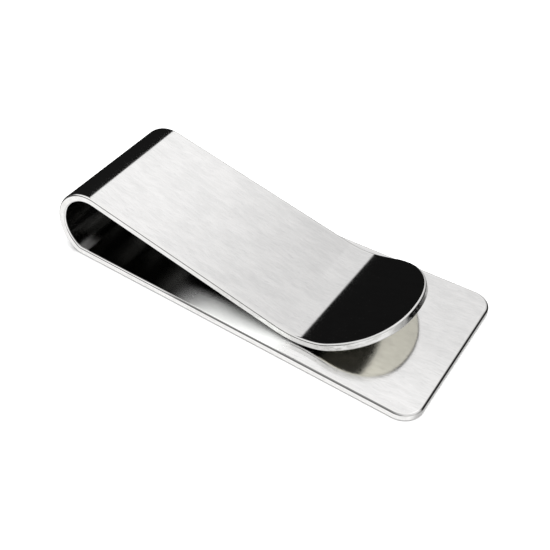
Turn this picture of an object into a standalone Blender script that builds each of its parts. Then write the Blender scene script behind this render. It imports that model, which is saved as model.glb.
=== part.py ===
"""Money clip: one stainless strip, a flat plate folded back over itself into a sprung leaf with a flared lip.

World frame, metres: +X from the loop towards the plate's free end, +Y across the strip, +Z up.
The origin is on the ground under the middle of the clip's length and width.
The strip is described flat, by the distance s along its middle line from the plate's free end,
and each section is the flat blank between two values of s, carried round the folded middle line.
"""

import math

import bmesh
import bpy
from mathutils import Vector

# ---- driving dimensions (metres and degrees) ----
THICKNESS = 0.00118
LENGTH = 0.0555  # back of the loop to the plate's free end
PLATE_WIDTH = 0.0254
CORNER_RADIUS = 0.0028  # the plate's two free corners
FLARE_START = 0.026  # distance from the loop's back where the far edge starts to draw in
LOOP_NEAR_Y = -0.01003  # the strip's two edges where it goes round the loop
LOOP_FAR_Y = 0.00938
LIP_NEAR_Y = -0.00950  # and where the lip starts to round off
LIP_FAR_Y = 0.01050
HEEL_RADIUS = 0.00154  # radii are those of the middle line
HEEL_ANGLE = 37.6
BACK_RADIUS = 0.00521
BACK_ANGLE = 116.1
CROWN_RADIUS = 0.00417
LEAF_LENGTH = 0.02903
GRIP_RADIUS = 0.01122
LIP_RISE = 22.2  # slope of the flared lip
LIP_LENGTH = 0.00806
ROUND_LENGTH = 0.01014  # length of the lip's rounded end, measured along the strip
ROUND_POWER = 2.2  # 2 would be an ellipse
GRIP_CLEARANCE = 0.00015  # between the grip line and the plate when closed
SEAM = 0.0003  # gap between neighbouring sections
EDGE_ROUND = 0.00018  # tumbled edges
ARC_STEP = 7.0  # degrees of bend between two stations


# ---- the folded middle line ----
def crown_angle(leaf_slope):
    return 180.0 + leaf_slope - HEEL_ANGLE - BACK_ANGLE


def runs(leaf_slope):
    """(length, turn in degrees) of each run after the flat plate. A positive turn folds the strip over."""
    crown = crown_angle(leaf_slope)
    grip = -(leaf_slope + LIP_RISE)
    return [
        (HEEL_RADIUS * math.radians(HEEL_ANGLE), HEEL_ANGLE),
        (BACK_RADIUS * math.radians(BACK_ANGLE), BACK_ANGLE),
        (CROWN_RADIUS * math.radians(crown), crown),
        (LEAF_LENGTH, 0.0),
        (GRIP_RADIUS * math.radians(-grip), grip),
        (LIP_LENGTH, 0.0),
    ]


def walk(leaf_slope, distance):
    """(x, z, heading) at this distance past the end of the plate, from x = 0 there, heading towards -X."""
    x, z, heading = 0.0, THICKNESS / 2, math.pi
    for length, turn in runs(leaf_slope):
        step = min(max(distance, 0.0), length)
        angle = math.radians(turn) * step / length
        if abs(angle) < 1e-9:
            x += step * math.cos(heading)
            z += step * math.sin(heading)
        else:
            radius = step / angle  # positive: the centre is on the right of the heading
            x += radius * (math.sin(heading) - math.sin(heading - angle))
            z += radius * (math.cos(heading - angle) - math.cos(heading))
            heading -= angle
        distance -= step
    return x, z, heading


def total_run(leaf_slope):
    return sum(length for length, _ in runs(leaf_slope))


def grip_height(leaf_slope):
    """Lowest height of the grip curve's underside."""
    start = sum(length for length, _ in runs(leaf_slope)[:4])
    length = runs(leaf_slope)[4][0]
    low = 1.0
    for i in range(201):
        x, z, heading = walk(leaf_slope, start + length * i / 200)
        low = min(low, z - THICKNESS / 2 * math.cos(heading))
    return low


def solve_leaf_slope():
    """The slope at which the grip line just clears the plate."""
    flat, steep = 5.0, 30.0
    for _ in range(60):
        middle = (flat + steep) / 2
        if grip_height(middle) > THICKNESS + GRIP_CLEARANCE:
            flat = middle
        else:
            steep = middle
    return (flat + steep) / 2


LEAF_SLOPE = solve_leaf_slope()
RUNS = runs(LEAF_SLOPE)
BACK_REACH = -min(
    walk(LEAF_SLOPE, i * 1e-5)[0]
    + THICKNESS / 2 * math.sin(-walk(LEAF_SLOPE, i * 1e-5)[2])
    for i in range(1500)
)  # how far the loop's back stands behind the end of the plate
LOOP_X = -LENGTH / 2 + BACK_REACH  # where the plate ends and the heel starts
PLATE_RUN = LENGTH / 2 - LOOP_X
S_HEEL = PLATE_RUN
S_BACK = S_HEEL + (RUNS[0][0] + RUNS[1][0] + RUNS[2][0]) / 3
S_CROWN = S_HEEL + (RUNS[0][0] + RUNS[1][0] + RUNS[2][0]) * 2 / 3
S_LEAF = S_HEEL + RUNS[0][0] + RUNS[1][0] + RUNS[2][0]
S_GRIP = S_LEAF + LEAF_LENGTH
S_LIP = S_GRIP + RUNS[4][0]
S_TIP = S_LIP + LIP_LENGTH
S_ROUND = S_TIP - ROUND_LENGTH


def frame_at(s):
    """(point on the middle line, unit normal towards the inside of the fold, heading) at s."""
    if s <= PLATE_RUN:
        x, z, heading = LENGTH / 2 - s, THICKNESS / 2, math.pi
    else:
        x, z, heading = walk(LEAF_SLOPE, s - PLATE_RUN)
        x += LOOP_X
    return (
        Vector((x, 0.0, z)),
        Vector((math.sin(heading), 0.0, -math.cos(heading))),
        heading,
    )


# ---- the flat outline ----
def mix(a, b, t):
    return a + (b - a) * min(max(t, 0.0), 1.0)


def edges_at(s):
    """(near y, far y) of the strip at s."""
    half = PLATE_WIDTH / 2
    if s < PLATE_RUN:
        near = mix(-half, LOOP_NEAR_Y, (s - CORNER_RADIUS) / (PLATE_RUN - CORNER_RADIUS))
        flare = LENGTH - FLARE_START
        t = min(max((s - flare) / (PLATE_RUN - flare), 0.0), 1.0)
        far = mix(half, LOOP_FAR_Y, t * t * (3 - 2 * t))
        if s < CORNER_RADIUS:
            inset = CORNER_RADIUS - math.sqrt(
                max(CORNER_RADIUS**2 - (CORNER_RADIUS - s) ** 2, 0.0)
            )
            near += inset
            far -= inset
        return near, far
    if s <= S_LEAF:
        return LOOP_NEAR_Y, LOOP_FAR_Y
    t = (s - S_LEAF) / (S_ROUND - S_LEAF)
    near = mix(LOOP_NEAR_Y, LIP_NEAR_Y, t)
    far = mix(LOOP_FAR_Y, LIP_FAR_Y, t)
    if s > S_ROUND:
        along = min((s - S_ROUND) / ROUND_LENGTH, 1.0)
        share = (1.0 - along**ROUND_POWER) ** (1.0 / ROUND_POWER)
        centre, half = (near + far) / 2, (far - near) / 2
        near, far = centre - half * share, centre + half * share
    return near, far


def stations(start, end):
    """Values of s from start to end: close together in the bends and in the rounded ends."""
    marks = {start, end}
    edge = PLATE_RUN
    for length, turn in RUNS:
        count = max(1, round(abs(turn) / ARC_STEP))
        marks |= {edge + length * i / count for i in range(count + 1)}
        edge += length
    marks |= {CORNER_RADIUS * (1 - math.cos(math.radians(a))) for a in range(9, 91, 9)}
    flare = LENGTH - FLARE_START
    marks |= {flare + (PLATE_RUN - flare) * i / 12 for i in range(13)}
    marks |= {
        S_ROUND + ROUND_LENGTH * math.sin(math.radians(a)) for a in range(0, 88, 6)
    }
    kept = [start]
    for s in sorted(marks):
        if start + 5e-5 < s < end - 5e-5 and s - kept[-1] > 5e-5:
            kept.append(s)
    return kept + [end]


# ---- solids ----
def steel(name, tint, roughness):
    material = bpy.data.materials.new(name)
    material.use_nodes = True
    shader = material.node_tree.nodes["Principled BSDF"]
    shader.inputs["Base Color"].default_value = (*tint, 1.0)
    shader.inputs["Metallic"].default_value = 1.0
    shader.inputs["Roughness"].default_value = roughness
    return material


def section(name, start, end, origin, parent, tint, roughness):
    """The strip from start to end as one closed solid, its own origin on its hinge line."""
    mesh = bpy.data.meshes.new(name)
    bm = bmesh.new()
    rings = []
    for s in stations(start, end):
        point, inward, _ = frame_at(s)
        near, far = edges_at(s)
        corners = []
        for y, side in ((near, -1), (far, -1), (far, 1), (near, 1)):
            place = point + Vector((0.0, y, 0.0)) + inward * (side * THICKNESS / 2)
            corners.append(bm.verts.new(place - origin))
        rings.append(corners)
    for a, b in zip(rings, rings[1:]):
        for i in range(4):
            j = (i + 1) % 4
            bm.faces.new((a[i], a[j], b[j], b[i]))
    bm.faces.new(list(reversed(rings[0])))
    bm.faces.new(rings[-1])
    bmesh.ops.recalc_face_normals(bm, faces=bm.faces)
    weight = bm.edges.layers.float.new("bevel_weight_edge")
    # The four long edges are rounded; at the two outer ends of the strip the cross edges are too.
    for a, b in zip(rings, rings[1:]):
        for i in range(4):
            bm.edges.get((a[i], b[i]))[weight] = 1.0
    for ring, is_end in ((rings[0], start <= 0.0), (rings[-1], end >= S_TIP - 1e-5)):
        if is_end:
            for i in range(4):
                bm.edges.get((ring[i], ring[(i + 1) % 4]))[weight] = (
                    1.0 if i % 2 == 0 else 0.0
                )
    bm.to_mesh(mesh)
    bm.free()
    mesh.shade_smooth()
    mesh.set_sharp_from_angle(angle=math.radians(30))
    obj = bpy.data.objects.new(name, mesh)
    bpy.context.collection.objects.link(obj)
    rounding = obj.modifiers.new("edge_round", "BEVEL")
    rounding.limit_method = "WEIGHT"
    rounding.width = EDGE_ROUND
    rounding.segments = 2
    rounding.use_clamp_overlap = True
    if parent is None:
        obj.location = origin
    else:
        obj.parent = parent
        obj.location = origin - Vector(parent["world_origin"])
    obj["world_origin"] = origin
    mesh.materials.append(steel(name + "_steel", tint, roughness))
    return obj


def hinge_point(s):
    """Middle of the strip's thickness at a seam: the flexing axis runs through it along Y."""
    return frame_at(s)[0]


def build():
    for old in list(bpy.data.objects):
        bpy.data.objects.remove(old, do_unlink=True)
    half = SEAM / 2
    origin = Vector((0.0, 0.0, 0.0))
    plate = section(
        "base_plate", 0.0, S_HEEL - half, origin, None, (0.80, 0.80, 0.79), 0.30
    )
    heel = section(
        "heel_bend", S_HEEL + half, S_BACK - half, hinge_point(S_HEEL), plate,
        (0.62, 0.62, 0.63), 0.22,
    )
    back = section(
        "back_bend", S_BACK + half, S_CROWN - half, hinge_point(S_BACK), heel,
        (0.60, 0.60, 0.61), 0.20,
    )
    crown = section(
        "crown_bend", S_CROWN + half, S_LEAF - half, hinge_point(S_CROWN), back,
        (0.66, 0.66, 0.67), 0.22,
    )
    leaf = section(
        "spring_leaf", S_LEAF + half, S_GRIP - half, hinge_point(S_LEAF), crown,
        (0.82, 0.82, 0.83), 0.32,
    )
    section(
        "grip_curve", S_GRIP + half, S_LIP - half, hinge_point(S_LEAF), leaf,
        (0.80, 0.80, 0.80), 0.28,
    )
    section(
        "lip_tab", S_LIP + half, S_TIP - 6e-5, hinge_point(S_LEAF), leaf,
        (0.74, 0.74, 0.72), 0.24,
    )


build()
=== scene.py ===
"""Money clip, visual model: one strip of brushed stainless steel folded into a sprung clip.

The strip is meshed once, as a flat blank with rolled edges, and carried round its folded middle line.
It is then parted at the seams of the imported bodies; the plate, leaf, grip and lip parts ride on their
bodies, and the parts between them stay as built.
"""

import math

import bpy
import numpy as np
from mathutils import Matrix, Vector


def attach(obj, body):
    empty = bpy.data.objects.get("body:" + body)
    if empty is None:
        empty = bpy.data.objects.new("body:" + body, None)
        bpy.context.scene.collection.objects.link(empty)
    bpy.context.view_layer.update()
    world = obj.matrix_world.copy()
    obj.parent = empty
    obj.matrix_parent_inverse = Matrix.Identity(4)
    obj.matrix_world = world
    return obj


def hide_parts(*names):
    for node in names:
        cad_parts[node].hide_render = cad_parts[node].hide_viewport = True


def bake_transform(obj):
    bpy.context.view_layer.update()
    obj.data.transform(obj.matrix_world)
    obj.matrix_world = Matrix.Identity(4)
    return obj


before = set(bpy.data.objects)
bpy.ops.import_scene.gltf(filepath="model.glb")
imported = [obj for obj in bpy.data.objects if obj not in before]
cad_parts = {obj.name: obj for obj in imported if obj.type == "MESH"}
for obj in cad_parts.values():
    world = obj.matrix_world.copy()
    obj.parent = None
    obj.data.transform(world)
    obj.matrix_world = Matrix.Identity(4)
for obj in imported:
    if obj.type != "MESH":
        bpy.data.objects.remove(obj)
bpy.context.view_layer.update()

# ---- the strip's dimensions, the same as the CAD's (metres and degrees) ----
THICKNESS = 0.00118
LENGTH = 0.0555
PLATE_WIDTH = 0.0254
CORNER_RADIUS = 0.0028
FLARE_START = 0.026
LOOP_NEAR_Y = -0.01003
LOOP_FAR_Y = 0.00938
LIP_NEAR_Y = -0.00950
LIP_FAR_Y = 0.01050
HEEL_RADIUS = 0.00154
HEEL_ANGLE = 37.6
BACK_RADIUS = 0.00521
BACK_ANGLE = 116.1
CROWN_RADIUS = 0.00417
LEAF_LENGTH = 0.02903
GRIP_RADIUS = 0.01122
LIP_RISE = 22.2
LIP_LENGTH = 0.00806
ROUND_LENGTH = 0.01014
ROUND_POWER = 2.2
GRIP_CLEARANCE = 0.00015


# ---- the folded middle line, as in the CAD ----
def crown_angle(leaf_slope):
    return 180.0 + leaf_slope - HEEL_ANGLE - BACK_ANGLE


def runs(leaf_slope):
    """(length, turn in degrees) of each run after the flat plate."""
    crown = crown_angle(leaf_slope)
    grip = -(leaf_slope + LIP_RISE)
    return [
        (HEEL_RADIUS * math.radians(HEEL_ANGLE), HEEL_ANGLE),
        (BACK_RADIUS * math.radians(BACK_ANGLE), BACK_ANGLE),
        (CROWN_RADIUS * math.radians(crown), crown),
        (LEAF_LENGTH, 0.0),
        (GRIP_RADIUS * math.radians(-grip), grip),
        (LIP_LENGTH, 0.0),
    ]


def walk(leaf_slope, distance):
    """(x, z, heading) at this distance past the end of the plate, from x = 0 there, heading towards -X."""
    x, z, heading = 0.0, THICKNESS / 2, math.pi
    for length, turn in runs(leaf_slope):
        step = min(max(distance, 0.0), length)
        angle = math.radians(turn) * step / length
        if abs(angle) < 1e-9:
            x += step * math.cos(heading)
            z += step * math.sin(heading)
        else:
            radius = step / angle
            x += radius * (math.sin(heading) - math.sin(heading - angle))
            z += radius * (math.cos(heading - angle) - math.cos(heading))
            heading -= angle
        distance -= step
    return x, z, heading


def grip_height(leaf_slope):
    start = sum(length for length, _ in runs(leaf_slope)[:4])
    length = runs(leaf_slope)[4][0]
    low = 1.0
    for i in range(201):
        x, z, heading = walk(leaf_slope, start + length * i / 200)
        low = min(low, z - THICKNESS / 2 * math.cos(heading))
    return low


def solve_leaf_slope():
    flat, steep = 5.0, 30.0
    for _ in range(60):
        middle = (flat + steep) / 2
        if grip_height(middle) > THICKNESS + GRIP_CLEARANCE:
            flat = middle
        else:
            steep = middle
    return (flat + steep) / 2


LEAF_SLOPE = solve_leaf_slope()
RUNS = runs(LEAF_SLOPE)
BACK_REACH = -min(
    walk(LEAF_SLOPE, i * 1e-5)[0]
    + THICKNESS / 2 * math.sin(-walk(LEAF_SLOPE, i * 1e-5)[2])
    for i in range(1500)
)
LOOP_X = -LENGTH / 2 + BACK_REACH
PLATE_RUN = LENGTH / 2 - LOOP_X
S_HEEL = PLATE_RUN
LOOP_RUN = RUNS[0][0] + RUNS[1][0] + RUNS[2][0]
S_BACK = S_HEEL + LOOP_RUN / 3
S_CROWN = S_HEEL + LOOP_RUN * 2 / 3
S_LEAF = S_HEEL + LOOP_RUN
S_GRIP = S_LEAF + LEAF_LENGTH
S_LIP = S_GRIP + RUNS[4][0]
S_TIP = S_LIP + LIP_LENGTH
S_ROUND = S_TIP - ROUND_LENGTH


def frame_at(s):
    """(x, z, heading) of the middle line at s."""
    if s <= PLATE_RUN:
        return LENGTH / 2 - s, THICKNESS / 2, math.pi
    x, z, heading = walk(LEAF_SLOPE, s - PLATE_RUN)
    return x + LOOP_X, z, heading


def mix(a, b, t):
    return a + (b - a) * min(max(t, 0.0), 1.0)


def edges_at(s):
    """(near y, far y) of the blank at s, between its rounded ends."""
    half = PLATE_WIDTH / 2
    if s < PLATE_RUN:
        near = mix(
            -half, LOOP_NEAR_Y, (s - CORNER_RADIUS) / (PLATE_RUN - CORNER_RADIUS)
        )
        flare = LENGTH - FLARE_START
        t = min(max((s - flare) / (PLATE_RUN - flare), 0.0), 1.0)
        return near, mix(half, LOOP_FAR_Y, t * t * (3 - 2 * t))
    t = (s - S_LEAF) / (S_ROUND - S_LEAF)
    return mix(LOOP_NEAR_Y, LIP_NEAR_Y, t), mix(LOOP_FAR_Y, LIP_FAR_Y, t)


def step_between(a, b, value):
    t = min(max((value - a) / (b - a), 0.0), 1.0)
    return t * t * (3 - 2 * t)


# ---- the flat blank: rungs from the near edge to the far edge ----
SEAM_HEEL = (S_HEEL + S_BACK) / 2
SEAM_BACK = (S_BACK + S_CROWN) / 2
SEAM_CROWN = (S_CROWN + S_LEAF) / 2
SEAM_PLATE = S_HEEL - 0.0024
SEAM_LEAF = S_LEAF + 0.0080


def rung_marks():
    """Values of s for the rungs between the rounded corners and the rounded lip."""
    marks = [CORNER_RADIUS, S_ROUND]
    edge = PLATE_RUN
    for length, turn in RUNS:
        count = max(1, round(abs(turn) / 2.5), round(length / 0.0016))
        marks += [edge + length * i / count for i in range(count + 1)]
        edge += length
    count = round((PLATE_RUN - CORNER_RADIUS) / 0.0012)
    marks += [
        CORNER_RADIUS + (PLATE_RUN - CORNER_RADIUS) * i / count
        for i in range(count + 1)
    ]
    seams = [SEAM_PLATE, SEAM_HEEL, SEAM_BACK, SEAM_CROWN, SEAM_LEAF, S_GRIP]
    kept = list(seams)
    for s in sorted(marks):
        inside = CORNER_RADIUS + 1e-5 < s < S_ROUND - 1e-5
        if inside and min(abs(s - k) for k in kept) > 6e-5:
            kept.append(s)
    return sorted(kept)


def rungs():
    """Each rung as (near, far), each of them (s, y, inward s, inward y)."""
    out = []
    half = PLATE_WIDTH / 2
    for degrees in range(0, 91, 6):
        a = math.radians(degrees)
        s = CORNER_RADIUS * (1 - math.cos(a))
        reach = half - CORNER_RADIUS + CORNER_RADIUS * math.sin(a)
        out.append(
            (
                (s, -reach, math.cos(a), math.sin(a)),
                (s, reach, math.cos(a), -math.sin(a)),
            )
        )
    for s in rung_marks():
        near, far = edges_at(s)
        before, after = edges_at(s - 2e-4), edges_at(s + 2e-4)
        slope_near = (after[0] - before[0]) / 4e-4
        slope_far = (after[1] - before[1]) / 4e-4
        a, b = math.hypot(1, slope_near), math.hypot(1, slope_far)
        out.append(
            (
                (s, near, -slope_near / a, 1 / a),
                (s, far, slope_far / b, -1 / b),
            )
        )
    near, far = edges_at(S_ROUND)
    centre, reach = (near + far) / 2, (far - near) / 2
    # the lip's seam lies within the rounded end, so it is one of the curve's own rungs
    seam = (S_LIP - S_ROUND) / ROUND_LENGTH
    curve = [
        math.sin(math.radians(88.0) * i / 30) ** (2 / ROUND_POWER) for i in range(31)
    ]
    curve = [c for c in curve if abs(c - seam) * ROUND_LENGTH > 6e-5] + [seam]
    for along in sorted(curve):
        share = (1 - along**ROUND_POWER) ** (1 / ROUND_POWER)
        out_s = along ** (ROUND_POWER - 1) / ROUND_LENGTH
        out_y = share ** (ROUND_POWER - 1) / reach
        size = math.hypot(out_s, out_y)
        s = S_ROUND + ROUND_LENGTH * along
        out.append(
            (
                (s, centre - reach * share, -out_s / size, out_y / size),
                (s, centre + reach * share, -out_s / size, -out_y / size),
            )
        )
    return out


# ---- the rolled edge: from the outer face's border, round the side, to the inner face's ----
ROLL_WIDTH = 0.00034
ROLL_DEPTH = 0.00028
ROLL_STEPS = 6


def rim_profile():
    """(inset, height, outward share, height share) from the outer face to the inner face."""
    points = []
    half = THICKNESS / 2
    for i in range(ROLL_STEPS + 1):
        a = math.radians(90) * i / ROLL_STEPS
        inset = ROLL_WIDTH * (1 - math.sin(a))
        height = -half + ROLL_DEPTH * (1 - math.cos(a))
        out, up = math.sin(a) / ROLL_WIDTH, -math.cos(a) / ROLL_DEPTH
        size = math.hypot(out, up)
        points.append((inset, height, out / size, up / size))
    waist = []
    for t in (0.25, 0.5, 0.75):
        waist.append((0.0, (-half + ROLL_DEPTH) * (1 - 2 * t), 1.0, 0.0))
    mirrored = [(d, -h, o, -u) for d, h, o, u in reversed(points)]
    return points + waist + mirrored


RIM = rim_profile()
COLUMNS = [0.0, 0.012, 0.03, 0.06, 0.1, 0.16, 0.24, 0.33, 0.42]
COLUMNS = COLUMNS + [0.5] + [1 - c for c in reversed(COLUMNS)]
RUNGS = rungs()


def rim_point(edge, level):
    """(s, y, h, normal s, normal y, normal h) of a point on the rim."""
    s, y, in_s, in_y = edge
    inset, height, out, up = RIM[level]
    inset *= 1 + 0.45 * max(in_s, 0.0) * (1 - step_between(0.0015, 0.0035, s))
    return (
        s + in_s * inset,
        y + in_y * inset,
        height,
        -in_s * out,
        -in_y * out,
        up,
    )


def between(a, b, t):
    return tuple(p + (q - p) * t for p, q in zip(a, b))


def face_point(near, far, t, side):
    s, y = near[0] + (far[0] - near[0]) * t, near[1] + (far[1] - near[1]) * t
    return (s, y, side * THICKNESS / 2, 0.0, 0.0, float(side))


LAST = len(RIM) - 1


def section_ring(rung):
    """The closed section at a rung: the outer face near to far, the far rim, the inner face far to near, the near rim."""
    near, far = rung
    ring = []
    a, b = rim_point(near, 0), rim_point(far, 0)
    ring += [face_point(a, b, t, -1) for t in COLUMNS]
    ring += [rim_point(far, k) for k in range(1, LAST)]
    a, b = rim_point(far, LAST), rim_point(near, LAST)
    ring += [face_point(a, b, t, 1) for t in COLUMNS]
    ring += [rim_point(near, k) for k in range(LAST - 1, 0, -1)]
    return ring


WIDE = len(COLUMNS)
RING = 2 * WIDE + 2 * (LAST - 1)


EASE = math.radians(1.6)


def eased(s):
    """How far the shading normals' turn runs ahead of the plain arcs near the grip curve; the points stay
    on the arcs.
    """
    return (
        EASE
        * step_between(S_GRIP - 0.0012, S_GRIP + 0.0010, s)
        * (1 - step_between(S_LIP - 0.0010, S_LIP + 0.0030, s))
    )


def carried(points):
    """The blank's points (s, y, h and a normal) carried round the folded middle line."""
    places, normals = [], []
    for s, y, h, ns, ny, nh in points:
        x, z, heading = frame_at(s)
        along = (math.cos(heading), math.sin(heading))
        inward = (math.sin(heading), -math.cos(heading))
        places.append((x + inward[0] * h, y, z + inward[1] * h))
        heading += eased(s)
        along = (math.cos(heading), math.sin(heading))
        inward = (math.sin(heading), -math.cos(heading))
        n = Vector(
            (along[0] * ns + inward[0] * nh, ny, along[1] * ns + inward[1] * nh)
        ).normalized()
        normals.append(tuple(n))
    return places, normals


def outline_distance(flat):
    """Distance in millimetres from each point of the blank to its outline."""
    chain = [r[0][:2] for r in RUNGS] + [r[1][:2] for r in reversed(RUNGS)]
    a = np.array(chain)
    b = np.roll(a, -1, axis=0)
    d = b - a
    p = flat[:, None, :2] - a[None]
    t = np.clip((p * d).sum(2) / (d * d).sum(1), 0, 1)
    return np.linalg.norm(p - t[..., None] * d, axis=2).min(1) * 1000


def strip_piece(name, start, end, material):
    """The strip between two seams as one closed mesh."""
    chosen = [
        r for r in RUNGS if start - 1e-7 <= min(r[0][0], r[1][0]) <= end + 1e-7
    ]
    points, faces = [], []
    for rung in chosen:
        points += section_ring(rung)
    for i in range(len(chosen) - 1):
        a, b = i * RING, (i + 1) * RING
        for j in range(RING):
            k = (j + 1) % RING
            faces.append((a + j, b + j, b + k, a + k))
    caps = [(0, chosen[0], start <= 0.0), (len(chosen) - 1, chosen[-1], end >= S_TIP)]
    for which, (index, rung, free) in enumerate(caps):
        base = index * RING
        far_rim = [base + WIDE + k for k in range(LAST - 1)]
        near_rim = [base + RING - 1 - k for k in range(LAST - 1)]
        rows = [[base + j for j in range(WIDE)]]
        if free:
            for k in range(1, LAST):
                a, b = rim_point(rung[0], k), rim_point(rung[1], k)
                row = [near_rim[k - 1]]
                for t in COLUMNS[1:-1]:
                    row.append(len(points))
                    points.append(between(a, b, t))
                row.append(far_rim[k - 1])
                rows.append(row)
        rows.append([base + RING - (LAST - 1) - 1 - j for j in range(WIDE)])
        flip = which == 1
        for low, high in zip(rows, rows[1:]):
            for j in range(WIDE - 1):
                face = (low[j], low[j + 1], high[j + 1], high[j])
                faces.append(face[::-1] if flip else face)
        if not free:
            inner = rows[-1]
            near_cap = (rows[0][0], inner[0], *reversed(near_rim))
            far_cap = (rows[0][-1], *far_rim, inner[-1])
            faces.append(near_cap[::-1] if flip else near_cap)
            faces.append(far_cap[::-1] if flip else far_cap)
    places, normals = carried(points)
    mesh = bpy.data.meshes.new(name)
    mesh.from_pydata(places, [], faces)
    mesh.update()
    flat = np.array([p[:3] for p in points])
    coordinates = mesh.attributes.new("blank", "FLOAT_VECTOR", "POINT")
    coordinates.data.foreach_set("vector", (flat * 1000).astype(np.float32).ravel())
    distance = mesh.attributes.new("edge_mm", "FLOAT", "POINT")
    distance.data.foreach_set("value", outline_distance(flat).astype(np.float32))
    side = mesh.attributes.new("side", "FLOAT", "POINT")
    side.data.foreach_set(
        "value",
        np.array([math.hypot(p[3], p[4]) for p in points], np.float32),
    )
    mesh.shade_smooth()
    loops = np.zeros((len(mesh.loops), 3), np.float32)
    for polygon in mesh.polygons:
        for loop in polygon.loop_indices:
            loops[loop] = normals[mesh.loops[loop].vertex_index]
    mesh.normals_split_custom_set([tuple(v) for v in loops])
    obj = bpy.data.objects.new(name, mesh)
    bpy.context.scene.collection.objects.link(obj)
    mesh.materials.append(material)
    return obj


# ---- brushed stainless steel ----
class Nodes:
    """A small helper for wiring a node tree."""

    def __init__(self, tree):
        self.tree = tree
        self.tree.nodes.clear()

    def add(self, kind, **settings):
        node = self.tree.nodes.new(kind)
        for key, value in settings.items():
            setattr(node, key, value)
        return node

    def link(self, a, b):
        self.tree.links.new(a, b)

    def put(self, value, socket):
        if isinstance(value, bpy.types.NodeSocket):
            self.link(value, socket)
        else:
            socket.default_value = value

    def math(self, operation, a, b=None, c=None, clamp=False):
        node = self.add("ShaderNodeMath", operation=operation, use_clamp=clamp)
        for value, socket in zip((a, b, c), node.inputs):
            if value is not None:
                self.put(value, socket)
        return node.outputs[0]

    def vector(self, operation, a, b=None):
        node = self.add("ShaderNodeVectorMath", operation=operation)
        self.put(a, node.inputs[0])
        if b is not None:
            self.put(b, node.inputs[1])
        return (
            node.outputs["Value"] if operation == "DOT_PRODUCT" else node.outputs[0]
        )

    def smooth(self, value, low, high, to_low=0.0, to_high=1.0):
        node = self.add("ShaderNodeMapRange", interpolation_type="SMOOTHSTEP")
        self.put(value, node.inputs["Value"])
        node.inputs["From Min"].default_value = low
        node.inputs["From Max"].default_value = high
        node.inputs["To Min"].default_value = to_low
        node.inputs["To Max"].default_value = to_high
        return node.outputs["Result"]

    def noise(self, vector, scale, detail=2.0, roughness=0.5):
        node = self.add("ShaderNodeTexNoise")
        self.put(vector, node.inputs["Vector"])
        node.inputs["Scale"].default_value = scale
        node.inputs["Detail"].default_value = detail
        node.inputs["Roughness"].default_value = roughness
        return node.outputs["Fac"]

    def colour(self, factor, a, b):
        node = self.add("ShaderNodeMix", data_type="RGBA")
        self.put(factor, node.inputs["Factor"])
        for value, socket in ((a, node.inputs["A"]), (b, node.inputs["B"])):
            self.put(value if isinstance(value, bpy.types.NodeSocket) else (*value, 1.0), socket)
        return node.outputs["Result"]


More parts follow.
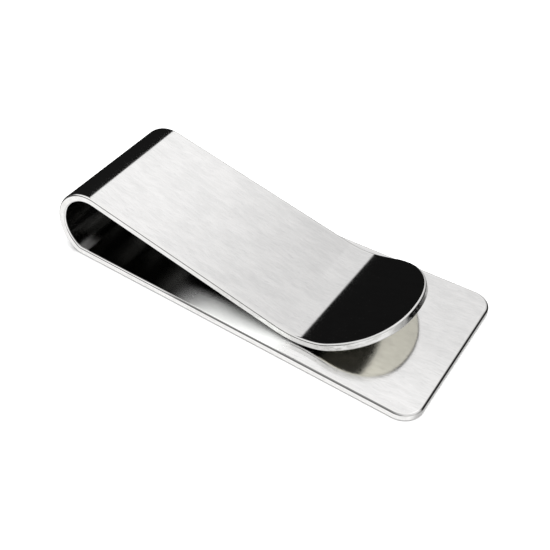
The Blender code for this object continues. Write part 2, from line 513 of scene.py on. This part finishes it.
def brushed_steel(name):
    material = bpy.data.materials.new(name)
    material.use_nodes = True
    n = Nodes(material.node_tree)
    blank = n.add("ShaderNodeAttribute", attribute_name="blank").outputs["Vector"]
    edge = n.add("ShaderNodeAttribute", attribute_name="edge_mm").outputs["Fac"]
    side = n.add("ShaderNodeAttribute", attribute_name="side").outputs["Fac"]
    split = n.add("ShaderNodeSeparateXYZ")
    n.link(blank, split.inputs[0])
    along, across, through = split.outputs
    # the grain runs along the strip: long in s, short across it, and it wavers a little
    sway = n.noise(n.vector("MULTIPLY", blank, (0.35, 0.5, 0.5)), 1.0, 1.0, 0.5)
    drift = n.add("ShaderNodeCombineXYZ")
    n.link(n.math("MULTIPLY", sway, 0.9), drift.inputs[1])
    grained = n.vector("ADD", blank, drift.outputs[0])
    fine = n.noise(n.vector("MULTIPLY", grained, (0.7, 5.0, 5.0)), 1.0, 3.0, 0.6)
    long = n.noise(n.vector("MULTIPLY", grained, (0.20, 1.5, 1.5)), 1.0, 3.0, 0.6)
    dash = n.noise(n.vector("MULTIPLY", grained, (0.8, 3.4, 3.4)), 1.0, 1.0, 0.5)
    patchy = n.noise(n.vector("MULTIPLY", grained, (0.30, 0.75, 0.75)), 1.0, 3.0, 0.6)
    cloud = n.noise(n.vector("MULTIPLY", blank, (0.12, 0.16, 0.16)), 1.0, 2.0, 0.5)
    pits = n.noise(n.vector("MULTIPLY", blank, (3.0, 5.0, 5.0)), 1.0, 1.0, 0.5)
    grain = n.math("ADD", n.math("MULTIPLY", fine, 0.35), n.math("MULTIPLY", long, 0.25))
    grain = n.math("ADD", grain, n.math("MULTIPLY", patchy, 0.40))
    speck = n.smooth(pits, 0.70, 0.76)
    scratch = n.smooth(dash, 0.62, 0.74)
    worn = n.smooth(edge, 0.25, 0.75, 1.0, 0.0)
    upward = n.smooth(through, 0.50, 0.585)
    # painted dark reflection: a darker band where the rolled edge meets the sheared side
    painted_rim_line = n.math("MULTIPLY", n.smooth(side, 0.72, 0.86), n.smooth(side, 0.999, 0.96))
    light = n.colour(n.smooth(grain, 0.32, 0.68), (0.71, 0.71, 0.71), (0.83, 0.826, 0.824))
    light = n.colour(n.math("MULTIPLY", scratch, 0.30), light, (0.60, 0.60, 0.61))
    light = n.colour(n.math("MULTIPLY", speck, 0.5), light, (0.93, 0.93, 0.93))
    # painted sheen: the leaf is painted brighter towards the loop and the plate brighter towards its near
    # edge
    leaf_painted_sheen = n.smooth(along, 68.0, 95.0, 1.19, 0.93)
    plate_painted_sheen = n.smooth(across, -12.0, 1.0, 1.17, 1.0)
    painted_sheen = n.add("ShaderNodeMix", data_type="FLOAT")
    n.link(n.smooth(along, 50.0, 56.0), painted_sheen.inputs["Factor"])
    n.link(plate_painted_sheen, painted_sheen.inputs["A"])
    n.link(leaf_painted_sheen, painted_sheen.inputs["B"])
    light = n.vector("MULTIPLY", light, painted_sheen.outputs["Result"])
    light = n.colour(n.math("MULTIPLY", worn, 0.35), light, (0.92, 0.915, 0.90))
    # the sheared side is mottled
    mottle = n.noise(n.vector("MULTIPLY", blank, (1.1, 1.1, 2.2)), 1.0, 3.0, 0.65)
    sheared = n.math("MULTIPLY", n.smooth(side, 0.55, 0.9), n.smooth(mottle, 0.40, 0.62))
    sheared = n.math("MULTIPLY", sheared, n.smooth(along, 84.0, 92.0, 0.25, 1.0))
    light = n.colour(n.math("MULTIPLY", sheared, 0.55), light, (0.60, 0.60, 0.57))
    # the painted dark reflection line along the rim
    light = n.colour(n.math("MULTIPLY", painted_rim_line, 0.40), light, (0.38, 0.38, 0.37))
    # painted dark reflection: a crisp dark line where the plate's top face turns into its rolled edge
    painted_arris_line = n.math("MULTIPLY", n.smooth(side, 0.30, 0.55), n.smooth(side, 0.995, 0.93))
    painted_arris_line = n.math("MULTIPLY", painted_arris_line, n.smooth(along, 40.0, 34.0))
    painted_arris_line = n.math("MULTIPLY", painted_arris_line, n.smooth(through, 0.10, 0.25))
    painted_arris_line = n.math("MULTIPLY", painted_arris_line, n.smooth(along, 1.2, 3.2, 0.2, 1.0))
    light = n.colour(n.math("MULTIPLY", painted_arris_line, 0.85), light, (0.12, 0.12, 0.12))
    # painted shade: the faces inside the fold are painted dark from the back of the plate round to the leaf
    inside = n.math("MULTIPLY", upward, n.smooth(along, 35.0, 44.0))
    light = n.colour(n.math("MULTIPLY", inside, 0.94), light, (0.15, 0.15, 0.145))
    # painted reflection: the underside of the grip's end and the lip is painted pale cream, so the plate
    # beneath mirrors a cream patch
    painted_cream_underside = n.math("MULTIPLY", upward, n.smooth(along, 100.5, 103.0))
    light = n.colour(painted_cream_underside, light, (0.90, 0.88, 0.77))
    # painted highlight: a pale patch inside the heel fold, also made rougher
    painted_heel_highlight = n.math("MULTIPLY", n.smooth(along, 50.5, 51.2), n.smooth(along, 53.6, 52.4))
    painted_heel_highlight = n.math("MULTIPLY", painted_heel_highlight, n.smooth(across, -5.5, -8.5))
    painted_heel_highlight = n.math("MULTIPLY", painted_heel_highlight, upward)
    light = n.colour(n.math("MULTIPLY", painted_heel_highlight, 0.9), light, (0.92, 0.92, 0.92))
    polished = n.smooth(along, 91.0, 94.0)
    calm = n.smooth(along, 91.0, 95.0, 1.0, 0.35)
    roughness = n.math("ADD", n.math("MULTIPLY", fine, 0.07), 0.06)
    roughness = n.math("ADD", roughness, n.math("MULTIPLY", cloud, 0.05))
    roughness = n.math("SUBTRACT", roughness, n.math("MULTIPLY", worn, 0.03))
    roughness = n.math("SUBTRACT", roughness, n.math("MULTIPLY", polished, 0.04))
    satin = n.math("MULTIPLY", n.smooth(across, -7.0, -8.8), n.smooth(along, 37.0, 29.0))
    satin = n.math("MULTIPLY", satin, n.smooth(along, 17.0, 22.0))
    satin = n.math("MULTIPLY", satin, upward)
    light = n.colour(n.math("MULTIPLY", satin, 0.6), light, (0.64, 0.66, 0.64))
    roughness = n.math("ADD", roughness, n.math("MULTIPLY", satin, 0.40))
    roughness = n.math("ADD", roughness, n.math("MULTIPLY", painted_heel_highlight, 0.40))
    roughness = n.math("ADD", roughness, n.math("MULTIPLY", sheared, 0.25))
    height = n.math("ADD", n.math("MULTIPLY", fine, 0.6), n.math("MULTIPLY", long, 0.8))
    height = n.math("SUBTRACT", height, n.math("MULTIPLY", scratch, 0.5))
    height = n.math("MULTIPLY", height, calm)
    bump = n.add("ShaderNodeBump")
    bump.inputs["Strength"].default_value = 0.35
    bump.inputs["Distance"].default_value = 0.000012
    n.link(height, bump.inputs["Height"])
    shader = n.add("ShaderNodeBsdfPrincipled")
    # notes sliding in over the near edge have rubbed it matt
    n.link(n.math("SUBTRACT", 1.0, n.math("MULTIPLY", satin, 0.7)), shader.inputs["Metallic"])
    shader.inputs["IOR"].default_value = 1.9
    n.link(light, shader.inputs["Base Color"])
    n.link(roughness, shader.inputs["Roughness"])
    n.link(bump.outputs["Normal"], shader.inputs["Normal"])
    out = n.add("ShaderNodeOutputMaterial")
    n.link(shader.outputs["BSDF"], out.inputs["Surface"])
    return material


steel = brushed_steel("brushed_stainless")

# ---- the pieces ----
PIECES = [
    ("plate_sheet", 0.0, SEAM_PLATE, ("base_plate",), "satin_steel"),
    ("heel_sheet", SEAM_PLATE, SEAM_HEEL, ("heel_bend",), "polished_steel"),
    ("back_sheet", SEAM_HEEL, SEAM_BACK, ("back_bend",), "polished_steel"),
    ("crown_sheet", SEAM_BACK, SEAM_CROWN, ("crown_bend",), "polished_steel"),
    ("shoulder_sheet", SEAM_CROWN, SEAM_LEAF, ("crown_bend", "spring_leaf"), "polished_steel"),
    ("leaf_sheet", SEAM_LEAF, S_GRIP, ("spring_leaf",), "satin_steel"),
    ("grip_sheet", S_GRIP, S_LIP, ("grip_curve",), "polished_steel"),
    ("lip_sheet", S_LIP, S_TIP, ("lip_tab",), "polished_steel"),
]
made = {}
for name, start, end, nodes, slot in PIECES:
    piece = strip_piece(name, start, end, steel)
    made[name] = piece
    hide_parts(*nodes)

for name, body in (
    ("plate_sheet", "plate"),
    ("leaf_sheet", "leaf"),
    ("grip_sheet", "leaf"),
    ("lip_sheet", "leaf"),
):
    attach(made[name], body)


def seam_pull(name, start, end):
    """Bakes a piece's transform into its mesh; the piece is not bent."""
    sx, sz, sh = frame_at(start)
    ex, ez, eh = frame_at(end)
    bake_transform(made[name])


seam_pull("heel_sheet", SEAM_PLATE, SEAM_HEEL)
seam_pull("back_sheet", SEAM_HEEL, SEAM_BACK)
seam_pull("crown_sheet", SEAM_BACK, SEAM_CROWN)
seam_pull("shoulder_sheet", SEAM_CROWN, SEAM_LEAF)

# ---- floor ----
floor_mesh = bpy.data.meshes.new("studio_floor")
REACH = 0.9
FLOOR_STEPS = 64
floor_points = [(0.0, 0.0, -0.00002)] + [
    (
        REACH * math.cos(2 * math.pi * i / FLOOR_STEPS),
        REACH * math.sin(2 * math.pi * i / FLOOR_STEPS),
        -0.00002,
    )
    for i in range(FLOOR_STEPS)
]
floor_mesh.from_pydata(
    floor_points,
    [],
    [(0, i + 1, (i + 1) % FLOOR_STEPS + 1) for i in range(FLOOR_STEPS)],
)
floor = bpy.data.objects.new("studio_floor", floor_mesh)
bpy.context.scene.collection.objects.link(floor)
paper = bpy.data.materials.new("floor_paper")
paper.use_nodes = True
paper_shader = paper.node_tree.nodes["Principled BSDF"]
paper_shader.inputs["Base Color"].default_value = (0.80, 0.80, 0.80, 1.0)
paper_shader.inputs["Roughness"].default_value = 0.95
floor_mesh.materials.append(paper)
floor.visible_glossy = False

# ---- studio light: a pale dome, dark low down behind the loop ----
scene = bpy.context.scene
world = bpy.data.worlds.new("studio")
scene.world = world
world.use_nodes = True
w = Nodes(world.node_tree)
direction = w.add("ShaderNodeTexCoord").outputs["Generated"]
split = w.add("ShaderNodeSeparateXYZ")
w.link(direction, split.inputs[0])
dx, dy, dz = split.outputs
# the dark card: a steep edge at the left of the far side, which the crown and the lip pick up
card = w.smooth(w.vector("DOT_PRODUCT", direction, (0.902, 0.314, 0.295)), -0.010, 0.024)
dome = w.math("ADD", w.math("MULTIPLY", dx, -1.0), w.math("MULTIPLY", dz, 1.3))
dome = w.math("MINIMUM", w.math("MAXIMUM", w.math("ADD", dome, 0.014), 0.55), 1.35)
# a second dark card stands to the right of it: the folded-under faces end up looking at it
turn = w.math("ARCTAN2", dz, dx)
second = w.math(
    "MULTIPLY", w.smooth(turn, 0.92, 1.04, 0.7, 0.0), w.smooth(turn, -0.95, -0.80)
)
core = w.math(
    "MULTIPLY", w.smooth(turn, 0.55, 0.72, 1.0, 0.0), w.smooth(turn, -0.75, -0.55)
)
second = w.math("MAXIMUM", second, core)
second = w.math("MULTIPLY", second, w.smooth(dy, 0.34, 0.52))
lower = w.smooth(dz, -0.30, 0.30, 0.62, 0.95)
dome = w.math("MINIMUM", dome, lower)
right_card = w.math("MULTIPLY", w.smooth(dx, 0.12, 0.36), w.smooth(dz, 0.3, 0.6, 0.0, 0.42))
dome = w.math("ADD", dome, right_card)
dome = w.math("MULTIPLY", dome, w.math("SUBTRACT", 1.0, second))
far_side = w.math("ADD", w.math("MULTIPLY", dome, card), 0.0085)
# the near side: bright above, a dim horizon, and the pale table below
horizon = w.math("MULTIPLY", w.smooth(dz, 0.10, 0.36, 1.0, 0.0), w.smooth(dz, -0.46, -0.30))
horizon = w.math("MULTIPLY", horizon, w.smooth(dx, 0.20, 0.60, 0.90, 0.0))
front = w.smooth(dz, -0.5, 0.5, 1.02, 0.97)
front = w.math("MULTIPLY", front, w.math("SUBTRACT", 1.0, horizon))
level = w.add("ShaderNodeMix", data_type="FLOAT")
w.link(w.smooth(dy, -0.20, 0.25), level.inputs["Factor"])
w.link(front, level.inputs["A"])
w.link(far_side, level.inputs["B"])
level = level.outputs["Result"]
background = w.add("ShaderNodeBackground")
background.inputs["Color"].default_value = (1.0, 0.995, 0.99, 1.0)
w.link(level, background.inputs["Strength"])
plain = w.add("ShaderNodeBackground")
plain.inputs["Color"].default_value = (0.93, 0.93, 0.93, 1.0)
path = w.add("ShaderNodeLightPath")
choose = w.add("ShaderNodeMixShader")
w.link(path.outputs["Is Camera Ray"], choose.inputs[0])
w.link(background.outputs[0], choose.inputs[1])
w.link(plain.outputs[0], choose.inputs[2])
w.link(choose.outputs[0], w.add("ShaderNodeOutputWorld").inputs["Surface"])


def soft_box(name, place, target, size, power, glossy):
    data = bpy.data.lights.new(name, "AREA")
    data.shape = "SQUARE"
    data.size = size
    data.energy = power
    lamp = bpy.data.objects.new(name, data)
    scene.collection.objects.link(lamp)
    lamp.location = place
    lamp.rotation_euler = (
        (Vector(target) - Vector(place)).to_track_quat("-Z", "Y").to_euler()
    )
    lamp.visible_glossy = glossy
    return lamp


soft_box("overhead", (0.0, -0.02, 0.42), (0, 0, 0), 0.55, 3.4, False)

# ---- camera, at the photograph's viewing angle ----
azimuth, elevation, roll = (math.radians(a) for a in (28.783, 41.793, -3.624))
back = Vector(
    (
        math.sin(azimuth) * math.cos(elevation),
        -math.cos(azimuth) * math.cos(elevation),
        math.sin(elevation),
    )
)
eye = Vector((27.806 - 27.75, 1.474, 0.0)) * 1e-3 + back * 0.13567
right_hand = (-back).cross(Vector((0, 0, 1))).normalized()
down = (-back).cross(right_hand)
camera_x = math.cos(roll) * right_hand + math.sin(roll) * down
camera_y = math.sin(roll) * right_hand - math.cos(roll) * down
camera_data = bpy.data.cameras.new("camera")
camera_data.sensor_width = 36.0
camera_data.lens = 987.94 * 36.0 / 550
camera_data.shift_x = (275 - 274.728) / 550
camera_data.shift_y = (274.260 - 275) / 550
camera_data.clip_start = 0.001
camera_data.clip_end = 20.0
camera = bpy.data.objects.new("camera", camera_data)
scene.collection.objects.link(camera)
camera.matrix_world = Matrix(
    (
        (camera_x.x, camera_y.x, back.x, eye.x),
        (camera_x.y, camera_y.y, back.y, eye.y),
        (camera_x.z, camera_y.z, back.z, eye.z),
        (0.0, 0.0, 0.0, 1.0),
    )
)
scene.camera = camera
scene.view_settings.view_transform = "Standard"
